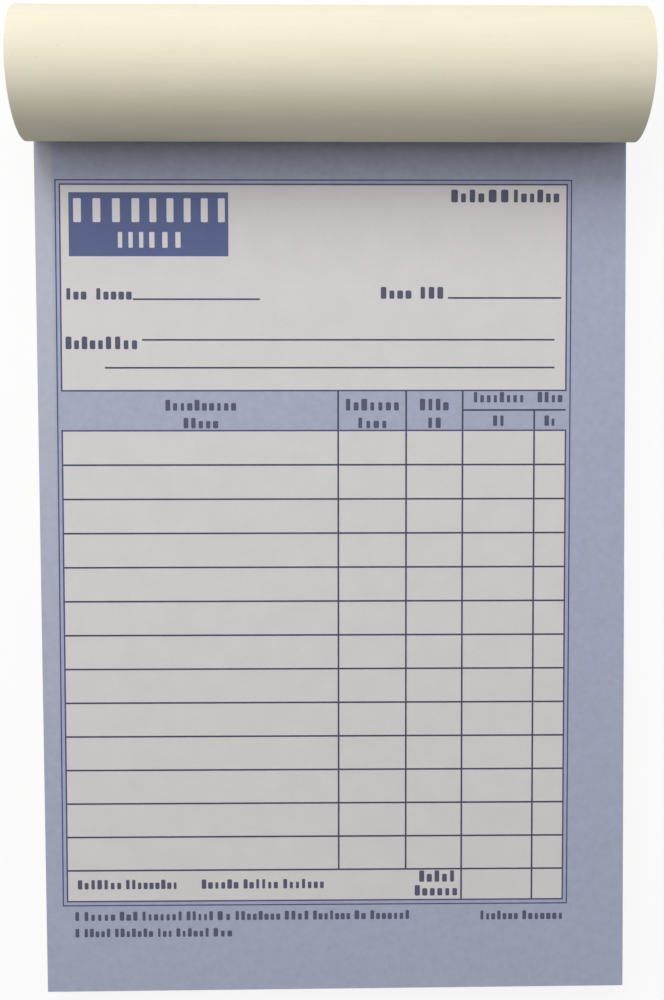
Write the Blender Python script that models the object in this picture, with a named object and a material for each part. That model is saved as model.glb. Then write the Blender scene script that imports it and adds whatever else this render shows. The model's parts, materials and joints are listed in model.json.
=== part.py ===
"""A triplicate memo book lying flat, its card cover rolled back over the head and tucked under the pad.

The pad is a stack of form sets, three leaves each, on a back board. Two wire stitches go through the
cover's root, the leaves and the board, and a tape goes round the head over them. The top set's leaves
are separate, so that each can lift at its tear line.

Metres, +Z up, +Y towards the head. The origin is under the middle of the book, on the surface that it
lies on.
"""

import math

import bmesh
import bpy

# Page and stack
PAGE_WIDTH = 0.140
PAGE_LENGTH = 0.216
LEAF_THICKNESS = 0.00007
LEAF_GAP = 0.00001
LEAVES_PER_SET = 3
SET_COUNT = 25
BOARD_THICKNESS = 0.0012

# Clearance between pieces that lie on each other
LAY_GAP = 0.00002

# Cover: a bound root, a crease, the roll over the head and a flap under the pad
COVER_LENGTH = 0.216
COVER_THICKNESS = 0.0003
BINDING_MARGIN = 0.0095
CREASE_RADIUS = 0.001
CREASE_TURN = math.radians(46.5)
ROLL_RADIUS = 0.01455

# Fineness of round stretches
ARC_STEP = math.radians(5)
WIRE_STEP = math.radians(22.5)
WIRE_SIDES = 8
SMOOTH_ANGLE = math.radians(30)

# Tear line of the top set, measured from the cover's crease towards the foot
TEAR_STEP = 0.0016
TEAR_PITCH = 0.005
TEAR_TIE = 0.0015
TEAR_CUT = 0.0003
HINGE_GAP = 0.0003

# Wire stitches
WIRE_DIAMETER = 0.0005
WIRE_BEND = 0.0004
STITCH_CROWN = 0.012
STITCH_SPACING = 0.076
STITCH_INSET = 0.005
CLINCH_LENGTH = 0.004
PUNCH_CLEARANCE = 0.0001
PUNCH_SIDES = 6

# Tape round the head
TAPE_THICKNESS = 0.0002
TAPE_SETBACK = 0.0008
TAPE_BACK_WIDTH = 0.012
TAPE_RAMP = 0.001

# Levels, from the surface that the book lies on
TAPE_BACK_Z = COVER_THICKNESS + LAY_GAP
BOARD_Z = TAPE_BACK_Z + TAPE_THICKNESS + LAY_GAP
STACK_Z = BOARD_Z + BOARD_THICKNESS + LAY_GAP
LEAF_STEP = LEAF_THICKNESS + LEAF_GAP
SET_STEP = LEAVES_PER_SET * LEAF_STEP
TOP_SET_Z = STACK_Z + (SET_COUNT - 1) * SET_STEP
PAGE_Z = TOP_SET_Z + SET_STEP - LEAF_GAP
ROOT_Z = PAGE_Z + LAY_GAP
ROOT_TOP = ROOT_Z + COVER_THICKNESS

# Places along the page, from the foot
CREASE_Y = PAGE_LENGTH - BINDING_MARGIN
TEAR_Y = CREASE_Y - TEAR_STEP
STITCH_Y = PAGE_LENGTH - STITCH_INSET
TAPE_HEAD_Y = PAGE_LENGTH + LAY_GAP

# The roll's axis, from the crease that it springs from
ROLL_MID = ROLL_RADIUS - COVER_THICKNESS / 2
CREASE_AXIS_Z = ROOT_Z + COVER_THICKNESS / 2 + CREASE_RADIUS
ROLL_Y = CREASE_Y + (ROLL_MID - CREASE_RADIUS) * math.sin(CREASE_TURN)
ROLL_Z = CREASE_AXIS_Z + (ROLL_MID - CREASE_RADIUS) * math.cos(CREASE_TURN)
BOOK_DEPTH = ROLL_Y + ROLL_RADIUS

STITCHES = {"staple_left": -STITCH_SPACING / 2, "staple_right": STITCH_SPACING / 2}
TOP_LEAVES = ("triplicate", "duplicate", "original")
TORN_LEAVES = ("duplicate", "original")


def clear_scene():
    """Remove every object of the scene."""
    for obj in list(bpy.data.objects):
        bpy.data.objects.remove(obj, do_unlink=True)


def finish(name, colour, roughness, metallic=0.0):
    """A Principled material."""
    material = bpy.data.materials.new(name)
    material.use_nodes = True
    shader = material.node_tree.nodes["Principled BSDF"]
    shader.inputs["Base Color"].default_value = (*colour, 1.0)
    shader.inputs["Roughness"].default_value = roughness
    shader.inputs["Metallic"].default_value = metallic
    return material


def place(name, data, material, book, location=(0, 0, 0)):
    """An object of the book, with its origin at the given place."""
    obj = bpy.data.objects.new(name, data)
    bpy.context.scene.collection.objects.link(obj)
    obj.parent = book
    obj.location = location
    if material:
        data.materials.append(material)
    return obj


def mesh_of(name, bm):
    """A mesh from a bmesh, its faces turned outwards."""
    bmesh.ops.recalc_face_normals(bm, faces=bm.faces)
    mesh = bpy.data.meshes.new(name)
    bm.to_mesh(mesh)
    bm.free()
    return mesh


def add_modifier(obj, kind, **settings):
    """A modifier with its settings."""
    modifier = obj.modifiers.new(kind.lower(), kind)
    for key, value in settings.items():
        setattr(modifier, key, value)


def bake(obj):
    """Apply the object's modifiers and shade its round stretches smooth."""
    graph = bpy.context.evaluated_depsgraph_get()
    mesh = bpy.data.meshes.new_from_object(obj.evaluated_get(graph))
    obj.modifiers.clear()
    obj.data = mesh
    mesh.shade_smooth()
    mesh.set_sharp_from_angle(angle=SMOOTH_ANGLE)


def extruded(cells, axis, length):
    """A closed bmesh: rectangles (low corner, high corner) that share edges, pushed along an axis.

    The rectangles lie in the plane of the two other axes, on which their corners are given.
    """
    bm = bmesh.new()
    points = {}
    across = [i for i in range(3) if i != axis]

    def vertex(pair):
        """The one vertex at a corner."""
        if pair not in points:
            place_of = [0.0, 0.0, 0.0]
            place_of[across[0]], place_of[across[1]] = pair
            points[pair] = bm.verts.new(place_of)
        return points[pair]

    for (low_a, low_b), (high_a, high_b) in cells:
        corners = ((low_a, low_b), (high_a, low_b), (high_a, high_b), (low_a, high_b))
        bm.faces.new([vertex(corner) for corner in corners])
    pushed = bmesh.ops.extrude_face_region(bm, geom=list(bm.faces))
    step = [0.0, 0.0, 0.0]
    step[axis] = length
    moved = [item for item in pushed["geom"] if isinstance(item, bmesh.types.BMVert)]
    bmesh.ops.translate(bm, verts=moved, vec=step)
    return bm


def box(bm, low, high):
    """Add a box between two corners to a bmesh."""
    made = bmesh.ops.create_cube(bm, size=1.0)["verts"]
    size = [b - a for a, b in zip(low, high)]
    bmesh.ops.scale(bm, verts=made, vec=size)
    bmesh.ops.translate(bm, verts=made, vec=[(a + b) / 2 for a, b in zip(low, high)])


def arc(centre, radius, start, end, step=ARC_STEP):
    """Points of an arc in a plane, without its first one."""
    steps = math.ceil(abs(end - start) / step)
    angles = [start + (end - start) * (i + 1) / steps for i in range(steps)]
    return [(centre[0] + radius * math.cos(a), centre[1] + radius * math.sin(a)) for a in angles]


def path_length(points):
    """The length of a line through points."""
    return sum(math.dist(a, b) for a, b in zip(points, points[1:]))


def cutter(name, bm, book):
    """A helper that only cuts other pieces."""
    obj = place(name, mesh_of(name, bm), None, book)
    obj.hide_render = True
    obj.display_type = "WIRE"
    return obj


def leg_places():
    """Where the stitches' legs go through: (across, turn towards the stitch's middle)."""
    return [(x + side * STITCH_CROWN / 2, -side) for x in STITCHES.values() for side in (-1, 1)]


def make_punch(book):
    """The cutter of the holes that the stitches' legs go through."""
    bm = bmesh.new()
    radius = (WIRE_DIAMETER / 2 + PUNCH_CLEARANCE) / math.cos(math.pi / PUNCH_SIDES)
    low = (TAPE_BACK_Z + BOARD_Z) / 2
    high = ROOT_TOP + WIRE_DIAMETER
    for x, _ in leg_places():
        prism = bmesh.ops.create_cone(
            bm,
            cap_ends=True,
            segments=PUNCH_SIDES,
            radius1=radius,
            radius2=radius,
            depth=high - low,
        )
        bmesh.ops.translate(bm, verts=prism["verts"], vec=(x, STITCH_Y, (low + high) / 2))
    return cutter("stitch_punch", bm, book)


def make_groover(book):
    """The cutter of the dents that the clinched legs lie in, in the board's underside."""
    bm = bmesh.new()
    half = WIRE_DIAMETER / 2 + PUNCH_CLEARANCE
    for x, inward in leg_places():
        ends = sorted((x - inward * half, x + inward * (CLINCH_LENGTH + PUNCH_CLEARANCE)))
        low = (ends[0], STITCH_Y - half, BOARD_Z - LAY_GAP / 2)
        high = (ends[1], STITCH_Y + half, BOARD_Z + WIRE_DIAMETER + PUNCH_CLEARANCE)
        box(bm, low, high)
    return cutter("clinch_groover", bm, book)


def punch(obj, *cutters):
    """Cut a piece with helpers."""
    for tool in cutters:
        add_modifier(obj, "BOOLEAN", object=tool, operation="DIFFERENCE", solver="EXACT")
    bpy.context.view_layer.update()
    bake(obj)


def make_board(book, material, punch_tool, groove_tool):
    """The back board, with the stitches' holes and the dents of their clinched legs."""
    bm = bmesh.new()
    low = (-PAGE_WIDTH / 2, 0, BOARD_Z)
    high = (PAGE_WIDTH / 2, PAGE_LENGTH, BOARD_Z + BOARD_THICKNESS)
    box(bm, low, high)
    board = place("back_board", mesh_of("back_board", bm), material, book)
    punch(board, punch_tool, groove_tool)


def set_cells():
    """A set's section along the page: its leaves, gummed into one in the binding margin."""
    levels = []
    for leaf in range(LEAVES_PER_SET):
        levels += [leaf * LEAF_STEP, leaf * LEAF_STEP + LEAF_THICKNESS]
    leaves = [((0, low), (CREASE_Y, high)) for low, high in zip(levels[::2], levels[1::2])]
    bound = [((CREASE_Y, low), (PAGE_LENGTH, high)) for low, high in zip(levels, levels[1:])]
    return leaves + bound


def make_sets(book, material, punch_tool):
    """The sets under the top one, all of one shape."""
    bm = extruded(set_cells(), axis=0, length=PAGE_WIDTH)
    bmesh.ops.translate(bm, verts=bm.verts, vec=(-PAGE_WIDTH / 2, 0, 0))
    first = place("set_02", mesh_of("form_set", bm), material, book, (0, 0, TOP_SET_Z - SET_STEP))
    punch(first, punch_tool)
    for number in range(3, SET_COUNT + 1):
        level = TOP_SET_Z - (number - 1) * SET_STEP
        place(f"set_{number:02d}", first.data, None, book, (0, 0, level))


def tear_bands(torn):
    """The page's width cut into (left, right, is a tie) where a tear line has its cuts and ties."""
    left, right = -PAGE_WIDTH / 2, PAGE_WIDTH / 2
    if not torn:
        return [(left, right, True)]
    count = max(1, round(PAGE_WIDTH / TEAR_PITCH))
    pitch = PAGE_WIDTH / count
    bands = []
    edge = left
    for i in range(count):
        middle = left + (i + 0.5) * pitch
        bands.append((edge, middle - TEAR_TIE / 2, False))
        bands.append((middle - TEAR_TIE / 2, middle + TEAR_TIE / 2, True))
        edge = middle + TEAR_TIE / 2
    return bands + [(edge, right, False)]


def leaf_cells(torn, far_end, towards):
    """A leaf's or stub's outline, from the tear line to its far end, measured from the line.

    The ties reach to the hinge gap. Between them the edge is cut back.
    """
    cut = towards * TEAR_CUT
    tip = towards * HINGE_GAP / 2
    cells = []
    for left, right, tie in tear_bands(torn):
        cells.append(((left, cut), (right, far_end)))
        if tie:
            cells.append(((left, tip), (right, cut)))
    return cells


def make_leaf(book, name, far_end, towards, material, level, torn):
    """A leaf or stub of the top set, with its origin on its tear line, at half its thickness."""
    bm = extruded(leaf_cells(torn, far_end, towards), axis=2, length=LEAF_THICKNESS)
    bmesh.ops.translate(bm, verts=bm.verts, vec=(0, 0, -LEAF_THICKNESS / 2))
    return place(name, mesh_of(name, bm), material, book, (0, TEAR_Y, level))


def make_top_set(book, materials, punch_tool):
    """The top set: three leaves that lift, and their stubs in the binding."""
    for index, copy in enumerate(TOP_LEAVES):
        level = TOP_SET_Z + index * LEAF_STEP + LEAF_THICKNESS / 2
        torn = copy in TORN_LEAVES
        make_leaf(book, f"{copy}_leaf", -TEAR_Y, -1, materials[copy], level, torn)
        stub_end = PAGE_LENGTH - TEAR_Y
        stub = make_leaf(book, f"{copy}_stub", stub_end, 1, materials[copy], level, torn)
        punch(stub, punch_tool)


def cover_path():
    """The middle line of the cover, from its bound edge at the head to the end of its flap."""
    middle = COVER_THICKNESS / 2
    path = [(PAGE_LENGTH, ROOT_Z + middle), (CREASE_Y, ROOT_Z + middle)]
    spring = math.radians(270) - CREASE_TURN
    path += arc((CREASE_Y, CREASE_AXIS_Z), CREASE_RADIUS, math.radians(270), spring)
    path += arc((ROLL_Y, ROLL_Z), ROLL_MID, spring, 0.0)
    # Behind the head the card drops and turns under, clear of the tape.
    back_y = ROLL_Y + ROLL_MID
    head_room = back_y - (TAPE_HEAD_Y + TAPE_THICKNESS)
    turn_radius = min(ROLL_MID, ROLL_Z - middle, head_room)
    turn_centre = (back_y - turn_radius, middle + turn_radius)
    path.append((back_y, turn_centre[1]))
    path += arc(turn_centre, turn_radius, 0.0, math.radians(-90))
    flap_length = COVER_LENGTH - path_length(path)
    path.append((turn_centre[0] - flap_length, middle))
    return path


def make_cover(book, material, punch_tool):
    """The card cover, with its origin on the roll's axis."""
    bm = bmesh.new()
    line = [bm.verts.new((-PAGE_WIDTH / 2, y - ROLL_Y, z - ROLL_Z)) for y, z in cover_path()]
    edges = [bm.edges.new(pair) for pair in zip(line, line[1:])]
    pushed = bmesh.ops.extrude_edge_only(bm, edges=edges)
    moved = [item for item in pushed["geom"] if isinstance(item, bmesh.types.BMVert)]
    bmesh.ops.translate(bm, verts=moved, vec=(PAGE_WIDTH, 0, 0))
    origin = (0, ROLL_Y, ROLL_Z)
    cover = place("front_cover", mesh_of("front_cover", bm), material, book, origin)
    add_modifier(cover, "SOLIDIFY", thickness=COVER_THICKNESS, offset=0.0, use_even_offset=True)
    punch(cover, punch_tool)


def make_staple(book, name, x, material):
    """A wire stitch: its crown on the cover's root, its legs clinched in the board's underside."""
    radius = WIRE_DIAMETER / 2
    crown_z = ROOT_TOP + LAY_GAP + radius
    clinch_z = BOARD_Z + LAY_GAP + radius
    half = STITCH_CROWN / 2
    upper = (half - WIRE_BEND, crown_z - WIRE_BEND)
    lower = (half - WIRE_BEND, clinch_z + WIRE_BEND)
    side = [(upper[0], crown_z)]
    side += arc(upper, WIRE_BEND, math.radians(90), 0.0, WIRE_STEP)
    side.append((half, lower[1]))
    side += arc(lower, WIRE_BEND, 0.0, math.radians(-90), WIRE_STEP)
    side.append((half - CLINCH_LENGTH, clinch_z))
    points = [(-across, up) for across, up in reversed(side)] + side
    curve = bpy.data.curves.new(name, "CURVE")
    curve.dimensions = "3D"
    curve.bevel_depth = radius
    curve.bevel_resolution = WIRE_SIDES // 2 - 2
    curve.use_fill_caps = True
    spline = curve.splines.new("POLY")
    spline.points.add(len(points) - 1)
    for point, (across, up) in zip(spline.points, points):
        point.co = (across, 0, up, 1)
    place(name, curve, material, book, (x, STITCH_Y, 0))


def tape_columns():
    """Places across the tape where its section changes, with their shares of the lift over a stitch."""
    columns = [(-PAGE_WIDTH / 2, 0.0)]
    flat = STITCH_CROWN / 2 + WIRE_DIAMETER / 2 + LAY_GAP
    for x in STITCHES.values():
        columns += [(x - flat - TAPE_RAMP, 0.0), (x - flat, 1.0)]
        columns += [(x + flat, 1.0), (x + flat + TAPE_RAMP, 0.0)]
    return columns + [(PAGE_WIDTH / 2, 0.0)]


def tape_rows():
    """The tape's inner line round the head, each point with its share of the lift over a stitch."""
    top = ROOT_TOP + LAY_GAP
    flat = WIRE_DIAMETER / 2 + LAY_GAP
    under = BOARD_Z - LAY_GAP
    return [
        (CREASE_Y + TAPE_SETBACK, top, 0.0),
        (STITCH_Y - flat - TAPE_RAMP, top, 0.0),
        (STITCH_Y - flat, top, 1.0),
        (STITCH_Y + flat, top, 1.0),
        (STITCH_Y + flat + TAPE_RAMP, top, 0.0),
        (TAPE_HEAD_Y, top, 0.0),
        (TAPE_HEAD_Y, under, 0.0),
        (PAGE_LENGTH - TAPE_BACK_WIDTH, under, 0.0),
    ]


def make_tape(book, material):
    """The tape round the head, raised where it goes over the stitches' crowns."""
    bm = bmesh.new()
    lift = WIRE_DIAMETER + LAY_GAP
    grid = []
    for y, z, row_share in tape_rows():
        grid.append([bm.verts.new((x, y, z + lift * row_share * share)) for x, share in tape_columns()])
    for low, high in zip(grid, grid[1:]):
        for i in range(len(low) - 1):
            bm.faces.new((low[i], low[i + 1], high[i + 1], high[i]))
    mesh = bpy.data.meshes.new("binding_tape")
    bm.to_mesh(mesh)
    bm.free()
    tape = place("binding_tape", mesh, material, book)
    add_modifier(tape, "SOLIDIFY", thickness=TAPE_THICKNESS, offset=1.0, use_even_offset=True)
    bpy.context.view_layer.update()
    bake(tape)


def main():
    """Build the book, piece by piece."""
    clear_scene()
    book = bpy.data.objects.new("book_frame", None)
    bpy.context.scene.collection.objects.link(book)
    book.location = (0, -BOOK_DEPTH / 2, 0)
    punch_tool = make_punch(book)
    groove_tool = make_groover(book)
    papers = {
        "original": finish("white_leaf", (0.68, 0.68, 0.74), 0.85),
        "duplicate": finish("pink_leaf", (0.82, 0.56, 0.60), 0.85),
        "triplicate": finish("yellow_leaf", (0.86, 0.76, 0.42), 0.85),
    }
    make_board(book, finish("greyboard", (0.34, 0.31, 0.27), 0.9), punch_tool, groove_tool)
    make_sets(book, finish("form_paper", (0.76, 0.73, 0.72), 0.85), punch_tool)
    make_top_set(book, papers, punch_tool)
    make_cover(book, finish("cream_card", (0.88, 0.82, 0.62), 0.75), punch_tool)
    wire = finish("steel_wire", (0.62, 0.63, 0.65), 0.3, 1.0)
    for name, x in STITCHES.items():
        make_staple(book, name, x, wire)
    make_tape(book, finish("binding_cloth", (0.05, 0.07, 0.16), 0.8))


main()
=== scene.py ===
"""Looks of a triplicate memo book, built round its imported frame.

The card cover, the printed leaves and the sets under them are modelled here. The stubs, the back
board, the tape and the stitches keep their solids and get finishes. Lengths are metres, in the
frame's own axes: +Y towards the bound head, +Z up out of the page, +X to the page's right.
"""

import json
import logging
import math
import random
from collections.abc import Callable, Iterable, Iterator, Sequence
from contextlib import contextmanager
from dataclasses import dataclass, field
from enum import Enum
from functools import lru_cache

import bmesh
import bpy
from mathutils import Matrix, Quaternion, Vector
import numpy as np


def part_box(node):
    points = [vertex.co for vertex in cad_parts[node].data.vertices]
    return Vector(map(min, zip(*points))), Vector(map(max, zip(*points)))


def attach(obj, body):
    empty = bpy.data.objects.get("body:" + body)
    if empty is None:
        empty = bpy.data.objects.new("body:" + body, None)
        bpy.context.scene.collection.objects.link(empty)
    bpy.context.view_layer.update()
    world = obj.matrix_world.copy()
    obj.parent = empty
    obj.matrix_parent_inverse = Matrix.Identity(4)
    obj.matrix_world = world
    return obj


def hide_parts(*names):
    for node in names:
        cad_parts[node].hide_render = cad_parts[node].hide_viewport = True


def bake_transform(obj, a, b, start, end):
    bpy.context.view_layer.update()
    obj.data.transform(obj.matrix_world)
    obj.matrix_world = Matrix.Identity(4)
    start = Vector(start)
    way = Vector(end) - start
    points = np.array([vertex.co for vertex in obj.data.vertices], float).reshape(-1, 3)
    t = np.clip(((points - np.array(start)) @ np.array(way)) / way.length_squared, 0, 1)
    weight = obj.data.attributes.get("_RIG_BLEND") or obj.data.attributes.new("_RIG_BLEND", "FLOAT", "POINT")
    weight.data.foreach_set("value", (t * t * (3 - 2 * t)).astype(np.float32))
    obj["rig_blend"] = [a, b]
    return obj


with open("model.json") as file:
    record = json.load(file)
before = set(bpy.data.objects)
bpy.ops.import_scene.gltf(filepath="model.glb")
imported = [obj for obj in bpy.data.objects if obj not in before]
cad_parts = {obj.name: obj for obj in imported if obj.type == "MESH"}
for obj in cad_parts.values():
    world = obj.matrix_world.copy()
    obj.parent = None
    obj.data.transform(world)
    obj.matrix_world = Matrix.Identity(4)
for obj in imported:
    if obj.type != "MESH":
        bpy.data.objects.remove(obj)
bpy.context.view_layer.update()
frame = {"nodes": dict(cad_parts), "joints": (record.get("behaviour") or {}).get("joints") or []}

LOG = logging.getLogger("memo_book")
MM = 0.001
# Least part of a face's normal along an axis, if the face counts as turned that way.
FACING = 0.9

Triple = tuple[float, float, float]
Colour = Triple
Test = Callable[[Vector], bool]
Piece = bpy.types.Object
Material = bpy.types.Material
Node = bpy.types.Node
Socket = bpy.types.NodeSocket
Value = float | Triple | Socket


class Body(Enum):
    """Bodies of the frame that pieces ride on."""

    BOOK = "book"
    COVER = "cover"
    TRIPLICATE = "triplicate"
    DUPLICATE = "duplicate"
    ORIGINAL = "original"


class Ply(Enum):
    """The three copies of a form, from the top of a set down."""

    ORIGINAL = "original"
    DUPLICATE = "duplicate"
    TRIPLICATE = "triplicate"


class Element(Enum):
    """What a selection is made of, by the operator's own names."""

    EDGE = "EDGE"
    FACE = "FACE"


class Axis(Enum):
    """Directions that a cut can be square to."""

    ACROSS = (1.0, 0.0, 0.0)
    ALONG = (0.0, 1.0, 0.0)

    @property
    def vector(self) -> Vector:
        """The direction as a vector."""
        return Vector(self.value)


@dataclass(frozen=True)
class Span:
    """A stretch along one axis."""

    low: float
    high: float

    @property
    def middle(self) -> float:
        """Middle of the stretch."""
        return (self.low + self.high) / 2

    @property
    def length(self) -> float:
        """Length of the stretch."""
        return self.high - self.low

    @property
    def ends(self) -> tuple[float, float]:
        """Both ends of the stretch."""
        return self.low, self.high

    def holds(self, value: float) -> bool:
        """Whether a value lies in the stretch."""
        return self.low <= value <= self.high


@dataclass(frozen=True)
class Box2D:
    """A flat rectangle, such as a printed bar."""

    across: Span
    along: Span

    def holds(self, point: Vector) -> bool:
        """Whether a point lies over the rectangle."""
        return self.across.holds(point.x) and self.along.holds(point.y)

    def outline(self, width: float) -> list["Box2D"]:
        """Four bars along the rectangle's sides.

        Args:
            width: Width of the bars, half inside and half outside.

        Returns:
            The upright bars, then the level ones.
        """
        half = width / 2
        tall = Span(self.along.low - half, self.along.high + half)
        wide = Span(self.across.low - half, self.across.high + half)
        upright = [Box2D(Span(u - half, u + half), tall) for u in self.across.ends]
        level = [Box2D(wide, Span(v - half, v + half)) for v in self.along.ends]
        return upright + level


def upright_bar(u: float, along: Span, width: float) -> Box2D:
    """A bar that runs up the page at one place across it."""
    return Box2D(Span(u - width / 2, u + width / 2), along)


def level_bar(v: float, across: Span, width: float) -> Box2D:
    """A bar that runs across the page at one height on it."""
    return Box2D(across, Span(v - width / 2, v + width / 2))


def smooth(value: float) -> float:
    """A soft step from 0 to 1."""
    held = min(max(value, 0.0), 1.0)
    return held * held * (3.0 - 2.0 * held)


def joint_place(name: str) -> Vector:
    """Point on the axis of one of the frame's joints."""
    return next(Vector(joint["pos_m"]) for joint in frame["joints"] if joint["name"] == name)


class Bench:
    """Modelling steps, done on one piece at a time with Blender's operators."""

    ROUND_STEPS = 3
    SHARP = math.radians(30.0)

    @staticmethod
    def pick(*pieces: Piece) -> None:
        """Select pieces and nothing else.

        Args:
            *pieces: The pieces. The first one becomes the active one.
        """
        bpy.ops.object.select_all(action="DESELECT")
        for piece in pieces:
            piece.select_set(True)
        bpy.context.view_layer.objects.active = pieces[0]

    @staticmethod
    def rename(piece: Piece, name: str) -> None:
        """Name a piece and its mesh."""
        piece.name = name
        piece.data.name = name

    @classmethod
    @contextmanager
    def shaping(cls, piece: Piece) -> Iterator[None]:
        """Hold a piece in edit mode, with all of it selected at first.

        Args:
            piece: The piece.

        Yields:
            Nothing, while the piece is in edit mode.
        """
        cls.pick(piece)
        bpy.ops.object.mode_set(mode="EDIT")
        bpy.ops.mesh.select_all(action="SELECT")
        yield
        bpy.ops.object.mode_set(mode="OBJECT")

    @staticmethod
    def fit_square(across: Span, along: Span, level: float) -> None:
        """Size and place the unit square that is selected in edit mode."""
        bpy.ops.transform.resize(value=(across.length, along.length, 1.0), center_override=(0.0, 0.0, 0.0))
        bpy.ops.transform.translate(value=(across.middle, along.middle, level))

    @staticmethod
    def extrude(x: float, y: float, z: float) -> None:
        """Grow what is selected in edit mode by a move."""
        bpy.ops.mesh.extrude_region_move(TRANSFORM_OT_translate={"value": (x, y, z)})

    @classmethod
    def plane(cls, name: str, across: Span, along: Span, level: float = 0.0) -> Piece:
        """Lay a flat rectangle.

        Args:
            name: Name of the new piece.
            across: Its reach in X.
            along: Its reach in Y.
            level: Its height.

        Returns:
            The new object, at the origin, with its place in its mesh.
        """
        bpy.ops.object.select_all(action="DESELECT")
        bpy.ops.mesh.primitive_plane_add(size=1.0, location=(0.0, 0.0, 0.0))
        piece = bpy.context.object
        cls.rename(piece, name)
        with cls.shaping(piece):
            cls.fit_square(across, along, level)
        return piece

    @classmethod
    def edge(cls, name: str, across: Span, y: float, z: float, parts: int) -> Piece:
        """Lay a straight edge across the page, ready to be spun or extruded.

        Args:
            name: Name of the new piece.
            across: The edge's reach in X.
            y: Its place along the page.
            z: Its height.
            parts: How many parts it is divided into.

        Returns:
            The new object.
        """
        depth = across.length
        piece = cls.plane(name, across, Span(y - depth, y), z)
        with cls.shaping(piece):
            cls.choose(piece, Element.EDGE, lambda point: point.y < y - depth / 2)
            bpy.ops.mesh.delete(type="VERT")
            bpy.ops.mesh.select_all(action="SELECT")
            bpy.ops.mesh.subdivide(number_cuts=parts - 1)
        return piece

    @classmethod
    def bars(cls, name: str, boxes: Sequence[Box2D], roundness: float = 0.0) -> Piece:
        """Lay flat bars that don't touch each other, as one piece.

        Args:
            name: Name of the new piece.
            boxes: Where the bars lie.
            roundness: Share of half the lesser side that each corner is rounded by.

        Returns:
            The new object.
        """
        piece = cls.plane(name, boxes[0].across, boxes[0].along)
        with cls.shaping(piece):
            for index, box in enumerate(boxes):
                if index:
                    bpy.ops.mesh.primitive_plane_add(size=1.0, location=(0.0, 0.0, 0.0))
                    cls.fit_square(box.across, box.along, 0.0)
                if roundness:
                    reach = roundness * min(box.across.length, box.along.length) / 2
                    bpy.ops.mesh.bevel(offset=reach, segments=cls.ROUND_STEPS, affect="VERTICES")
        return piece

    @staticmethod
    def choose(piece: Piece, element: Element, test: Test) -> None:
        """Select, in edit mode, what passes a test.

        Args:
            piece: The piece in edit mode.
            element: Faces, tested at their middle, or edges, tested at both ends.
            test: Says whether a point counts.
        """
        bpy.ops.mesh.select_mode(type=element.value)
        bpy.ops.mesh.select_all(action="DESELECT")
        mesh = bmesh.from_edit_mesh(piece.data)
        if element is Element.FACE:
            found = [face for face in mesh.faces if test(face.calc_center_median())]
        else:
            found = [edge for edge in mesh.edges if all(test(vertex.co) for vertex in edge.verts)]
        for part in found:
            part.select_set(True)
        bmesh.update_edit_mesh(piece.data)

    @classmethod
    def cut(
        cls, piece: Piece, axis: Axis, place: float, own: Matrix | None = None, test: Test | None = None
    ) -> None:
        """Cut faces along a line, in edit mode, and leave both sides in place.

        Args:
            piece: The piece in edit mode.
            axis: Direction square to the line.
            place: Where the line lies along that direction.
            own: Move from the axes that the line is given in. The piece's own if left out.
            test: Which faces are cut. All of them if left out.
        """
        if test is None:
            bpy.ops.mesh.select_all(action="SELECT")
        else:
            cls.choose(piece, Element.FACE, test)
        point, normal = axis.vector * place, axis.vector
        if own is not None:
            point, normal = own @ point, own.to_3x3() @ normal
        bpy.ops.mesh.bisect(plane_co=point, plane_no=normal)

    @classmethod
    def thicken_down(cls, piece: Piece, depth: float) -> None:
        """Make a closed plate of a flat piece.

        Args:
            piece: The flat piece, which becomes the plate's upper face.
            depth: Thickness of the plate.
        """
        with cls.shaping(piece):
            cls.extrude(0.0, 0.0, -depth)
        cls.face_outwards(piece)

    @classmethod
    def thicken_both(cls, piece: Piece, thickness: float) -> None:
        """Make a closed wall of an open surface.

        Args:
            piece: The surface, which becomes the wall's middle.
            thickness: Thickness of the wall.
        """
        wall = piece.modifiers.new("wall", "SOLIDIFY")
        wall.thickness = thickness
        wall.offset = 0.0
        cls.pick(piece)
        bpy.ops.object.modifier_apply(modifier=wall.name)
        cls.face_outwards(piece)

    @classmethod
    def face_outwards(cls, piece: Piece) -> None:
        """Turn every face of a closed piece outwards."""
        with cls.shaping(piece):
            bpy.ops.mesh.normals_make_consistent(inside=False)

    @classmethod
    def soften(cls, piece: Piece) -> None:
        """Shade a piece smooth, apart from its sharp edges."""
        cls.pick(piece)
        bpy.ops.object.shade_smooth_by_angle(angle=cls.SHARP)

    @classmethod
    def twin(cls, piece: Piece, name: str) -> Piece:
        """Copy a piece.

        Args:
            piece: The pattern.
            name: Name of the copy.

        Returns:
            The copy, with a mesh of its own.
        """
        copy = piece.copy()
        copy.data = piece.data.copy()
        cls.rename(copy, name)
        bpy.context.scene.collection.objects.link(copy)
        return copy

    @classmethod
    def join(cls, name: str, *pieces: Piece) -> Piece:
        """Join pieces into the first one.

        Args:
            name: Name of the whole.
            *pieces: The pieces.

        Returns:
            The whole.
        """
        cls.pick(*pieces)
        bpy.ops.object.join()
        cls.rename(pieces[0], name)
        return pieces[0]

    @staticmethod
    def discard(piece: Piece) -> None:
        """Take away a pattern that has been copied.

        Args:
            piece: The pattern.
        """
        mesh = piece.data
        bpy.data.objects.remove(piece)
        bpy.data.meshes.remove(mesh)

    @staticmethod
    def dress(piece: Piece, *materials: Material) -> None:
        """Give a piece its materials.

        Args:
            piece: The piece, whose faces all go back to the first slot.
            *materials: The materials, in the order of the slots.
        """
        piece.data.materials.clear()
        for material in materials:
            piece.data.materials.append(material)


UNIT = Span(0.0, 1.0)
NOISE_REACH = Span(0.3, 0.7)


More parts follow.
